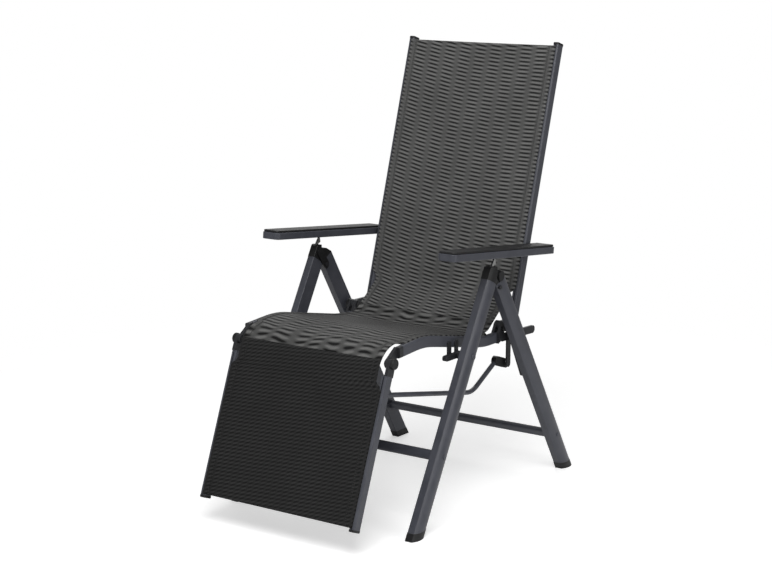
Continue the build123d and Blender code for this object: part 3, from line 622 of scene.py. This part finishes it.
def tangent_at(place, share):
    """Smooth tangent between the two route points beside a place."""
    low = route[min(place, len(route) - 1)] - route[max(place - 2, 0)]
    high = route[min(place + 1, len(route) - 1)] - route[max(place - 1, 0)]
    return low.normalized().lerp(high.normalized(), share).normalized()


def nearest_distance(spot):
    """Distance down the cloth of the route point nearest to a side-view spot."""
    near = min(range(len(route)), key=lambda n: (route[n] - spot).length)
    return distances[near]


def smooth(value):
    """Smooth step from 0 to 1."""
    value = min(max(value, 0.0), 1.0)
    return value * value * (3 - 2 * value)


rear_free_start = nearest_distance(back_spot(back_free_reach + back_early, sling_up))
rear_free_end = nearest_distance(Vector((seat_free_y - seat_early, seat_dip[1] + sling_up)))
front_free_start = nearest_distance(Vector((seat_front[0] + front_early, seat_front[1] + sling_up)))
front_free_end = nearest_distance(foot_spot(foot_free_reach, sling_up))
free_spans = ((rear_free_start, rear_free_end), (front_free_start, front_free_end))


def held_share(distance):
    """1 where the tubes' slots hold the cloth's edge, 0 where it is free."""
    held = 1.0
    for start, end in free_spans:
        held = min(held, max(smooth((start - distance) / fade), smooth((distance - end) / fade)))
    return held


def half_width(held):
    """Half the cloth's width for a held share."""
    return free_half + (slot_x - free_half) * held


def cloth_point(across, distance, lift=0.0):
    """Place of the cloth: across from -1 to 1, and a distance from the top edge."""
    held = held_share(distance)
    inner = min(abs(across) / flat_share, 1.0)
    outer = max((abs(across) - flat_share) / lip_share, 0.0)
    x = half_width(held) * (inner * (1 - lip_out * held) + outer * lip_out * held)
    drop = slot_drop * outer * held
    spot, run = route_at(distance)
    up = Vector((run.y, -run.x))
    hang = sag * (1 - inner ** 2) * (free_sag + (1 - free_sag) * held)
    place = spot + up * (lift - drop - hang)
    return Vector((x if across > 0 else -x, place.x, place.y))


def cloth_grid(name, start, end, left=-1.0, right=1.0, columns=sheet_columns, lift=0.0):
    """Sheet between two distances and two shares of the width, with its UV map."""
    rows = max(2, round((end - start) / row_step))
    mesh = bpy.data.meshes.new(name)
    grid = bmesh.new()
    bmesh.ops.create_grid(grid, x_segments=columns, y_segments=rows, size=grid_half)
    uv = grid.loops.layers.uv.new("cloth")
    shares = {}
    for vertex in grid.verts:
        across = left + (right - left) * (vertex.co.x + grid_half)
        distance = end + (start - end) * (vertex.co.y + grid_half)
        shares[vertex] = (across * slot_x, distance)
        vertex.co = cloth_point(across, distance, lift)
    for face in grid.faces:
        for corner in face.loops:
            corner[uv].uv = shares[corner.vert]
    bmesh.ops.recalc_face_normals(grid, faces=grid.faces)
    if sum((face.normal.z for face in grid.faces), 0.0) < 0:
        bmesh.ops.reverse_faces(grid, faces=grid.faces)
    grid.to_mesh(mesh)
    grid.free()
    mesh.shade_smooth()
    piece = bpy.data.objects.new(name, mesh)
    scene.collection.objects.link(piece)
    return piece


def thicken(piece, thickness):
    """Give a sheet its real thickness, half of it on each side."""
    wall = piece.modifiers.new("thickness", "SOLIDIFY")
    wall.thickness = thickness
    wall.offset = 0.0
    return piece


# %% [markdown]
# The chair bends at its hinges, so the sling is cut there, across the line that both sides
# share. The seat's cloth is cut once more in the middle, where both halves lie on the seat.

rear_cut = nearest_distance(Vector((hinge_back.y, hinge_back.z)))
front_cut = nearest_distance(Vector((hinge_foot.y, hinge_foot.z)))
seat_cut = nearest_distance((Vector(seat_dip) + Vector(seat_crest)) / 2)
cloth_end = distances[-1]
sections = {
    "back": (0.0, rear_cut, back_cloth, "back_sling"),
    "seat_rear": (rear_cut, seat_cut, seat_cloth, "seat_sling"),
    "seat_front": (seat_cut, front_cut, seat_cloth, "seat_sling"),
    "foot": (front_cut, cloth_end, foot_cloth_painted_shade, "foot_sling"),
}


def bend_piece(piece, section):
    """Bake a piece of cloth's place into its mesh, the same for every section.
    """
    if section == "back":
        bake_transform(piece)
    elif section == "seat_rear":
        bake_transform(piece)
    elif section == "seat_front":
        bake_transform(piece)
    else:
        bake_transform(piece)


sheets = {}
for section, (start, end, cloth, _) in sections.items():
    sheet = thicken(cloth_grid(f"sling_{section}", start, end), cloth_thick)
    sheet.data.materials.append(cloth)
    sheets[section] = sheet
    print(sheet.name, "length", round(end - start, 4), "faces", len(sheet.data.polygons))

# %% [markdown]
# Along both edges the cloth is folded over a cord and sewn down, which makes a band about
# 22 mm wide beside each tube. Its stitches are small bumps in two rows.

# %% Hems and stitches
hem_wide = 0.022
hem_lift = 0.0011
hem_thick = 0.0010
stitch_pitch = 0.0055
stitch_long = 0.0017
stitch_wide = 0.00045
stitch_rows = (0.0030, 0.0060)   # from the hem's inner edge
hem_columns = 5


def across_at(x, distance):
    """Share of the width whose place on the flat cloth is x."""
    return x / half_width(held_share(distance)) * flat_share


def add_stitches(target, places, runs):
    """Small low bumps at places on the cloth, each turned along its row."""
    for place, along in zip(places, runs):
        turn = along.to_track_quat("X", "Z").to_matrix().to_4x4()
        shape = Matrix.Diagonal((stitch_long, stitch_wide, stitch_wide, 1))
        matrix = Matrix.Translation(place) @ turn @ shape
        bmesh.ops.create_uvsphere(target, u_segments=6, v_segments=4, radius=1, matrix=matrix)


def side_stitches(side, start, end):
    """Places and directions of the two stitch rows on one side hem."""
    places = []
    runs = []
    count = int((end - start) / stitch_pitch)
    for n in range(count):
        distance = start + (n + 0.5) * stitch_pitch
        half = half_width(held_share(distance))
        for inset in stitch_rows:
            across = side * across_at(half - hem_wide + inset, distance)
            lift = hem_lift + hem_thick / 2
            place = cloth_point(across, distance, lift)
            places.append(place)
            runs.append(cloth_point(across, distance + stitch_long, lift) - place)
    return places, runs


def hem_strips(section, start, end):
    """The left and the right side hem of a section."""
    inner = 1 - hem_wide / slot_x
    return [
        cloth_grid(f"hem_{section}_{name}", start, end, left, right, hem_columns, hem_lift)
        for name, left, right in (("left", -flat_share, -inner), ("right", inner, flat_share))
    ]


for section, (start, end, cloth, node) in sections.items():
    both = bmesh.new()
    for part in hem_strips(section, start, end):
        both.from_mesh(part.data)
        bpy.data.objects.remove(part)
    mesh = bpy.data.meshes.new(f"sling_{section}_hems")
    both.to_mesh(mesh)
    both.free()
    mesh.shade_smooth()
    mesh.materials.append(cloth)
    hem = bpy.data.objects.new(mesh.name, mesh)
    scene.collection.objects.link(hem)
    thicken(hem, hem_thick)
    sewn = bmesh.new()
    for side in (-1, 1):
        add_stitches(sewn, *side_stitches(side, start, end))
    stitch_mesh = bpy.data.meshes.new(f"sling_{section}_stitches")
    sewn.to_mesh(stitch_mesh)
    sewn.free()
    stitch_mesh.shade_smooth()
    stitch_mesh.materials.append(thread)
    stitches = bpy.data.objects.new(stitch_mesh.name, stitch_mesh)
    scene.collection.objects.link(stitches)
    for piece in (sheets[section], hem, stitches):
        bend_piece(piece, section)
    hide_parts(node)
    print("hems and stitches", section, len(stitch_mesh.polygons))

# %% [markdown]
# The studio is a pale floor under a white sky. Only the camera, and what it would see
# through glass, gets the sky at full white; the chair is lit by a much softer part of it and
# by three large lamps, the strongest above and in front. The floor gives the camera part of
# its white by itself, because the soft sky alone would leave it grey. It keeps the shadow
# and fades out, so that no horizon shows.

# %% Studio
chair_middle = Vector((0, 0, 0.5))
floor_radius = 3.0


def studio_world(level):
    """White to the eye and through glass, dimmer as a lamp."""
    world = bpy.data.worlds.new("studio_sky")
    scene.world = world
    world.use_nodes = True
    tree = world.node_tree
    sky = tree.nodes["Background"]
    sky.inputs["Color"].default_value = (1, 1, 1, 1)
    ray = new_node(tree, "ShaderNodeLightPath").outputs
    seen = calc(tree, "MAXIMUM", ray["Is Camera Ray"], ray["Is Transmission Ray"])
    feed(tree, sky.inputs["Strength"], spread(tree, seen, 0, 1, level, 1.0))


def soft_lamp(name, place, size, power):
    """Large square lamp that faces the middle of the chair."""
    lamp = bpy.data.lights.new(name, "AREA")
    lamp.energy = power
    lamp.size = size
    holder = bpy.data.objects.new(name, lamp)
    holder.location = place
    aim = chair_middle - Vector(place)
    holder.rotation_euler = aim.to_track_quat("-Z", "Y").to_euler()
    scene.collection.objects.link(holder)


def floor_finish(clear_radius, fade_radius, own_light):
    """White floor near the chair that fades away into the sky."""
    material = bpy.data.materials.new("floor_white")
    material.use_nodes = True
    tree = material.node_tree
    shader = tree.nodes["Principled BSDF"]
    shader.inputs["Base Color"].default_value = (0.94, 0.94, 0.94, 1)
    shader.inputs["Roughness"].default_value = 0.9
    shader.inputs["Specular IOR Level"].default_value = 0.0
    ray = new_node(tree, "ShaderNodeLightPath").outputs
    shader.inputs["Emission Color"].default_value = (1, 1, 1, 1)
    own_white = calc(tree, "MULTIPLY", ray["Is Camera Ray"], own_light)
    feed(tree, shader.inputs["Emission Strength"], own_white)
    place = new_node(tree, "ShaderNodeTexCoord").outputs["Object"]
    far = new_node(tree, "ShaderNodeVectorMath", operation="LENGTH")
    feed(tree, far.inputs[0], place)
    clear = new_node(tree, "ShaderNodeBsdfTransparent")
    mixer = new_node(tree, "ShaderNodeMixShader")
    feed(tree, mixer.inputs[0], spread(tree, far.outputs["Value"], clear_radius, fade_radius))
    feed(tree, mixer.inputs[1], shader.outputs[0])
    feed(tree, mixer.inputs[2], clear.outputs[0])
    feed(tree, tree.nodes["Material Output"].inputs["Surface"], mixer.outputs[0])
    return material


studio_world(level=0.28)
soft_lamp("key_lamp", place=(1.0, -1.9, 3.0), size=2.0, power=70)
soft_lamp("side_lamp", place=(2.9, -0.5, 1.3), size=1.2, power=14)
soft_lamp("rear_lamp", place=(-1.2, 2.4, 2.4), size=2.0, power=24)

floor_mesh = bpy.data.meshes.new("floor")
disc = bmesh.new()
bmesh.ops.create_circle(disc, cap_ends=True, segments=96, radius=floor_radius)
disc.to_mesh(floor_mesh)
disc.free()
floor_mesh.materials.append(floor_finish(clear_radius=0.8, fade_radius=2.2, own_light=0.45))
floor = bpy.data.objects.new("floor", floor_mesh)
scene.collection.objects.link(floor)
print("floor radius", floor_radius)
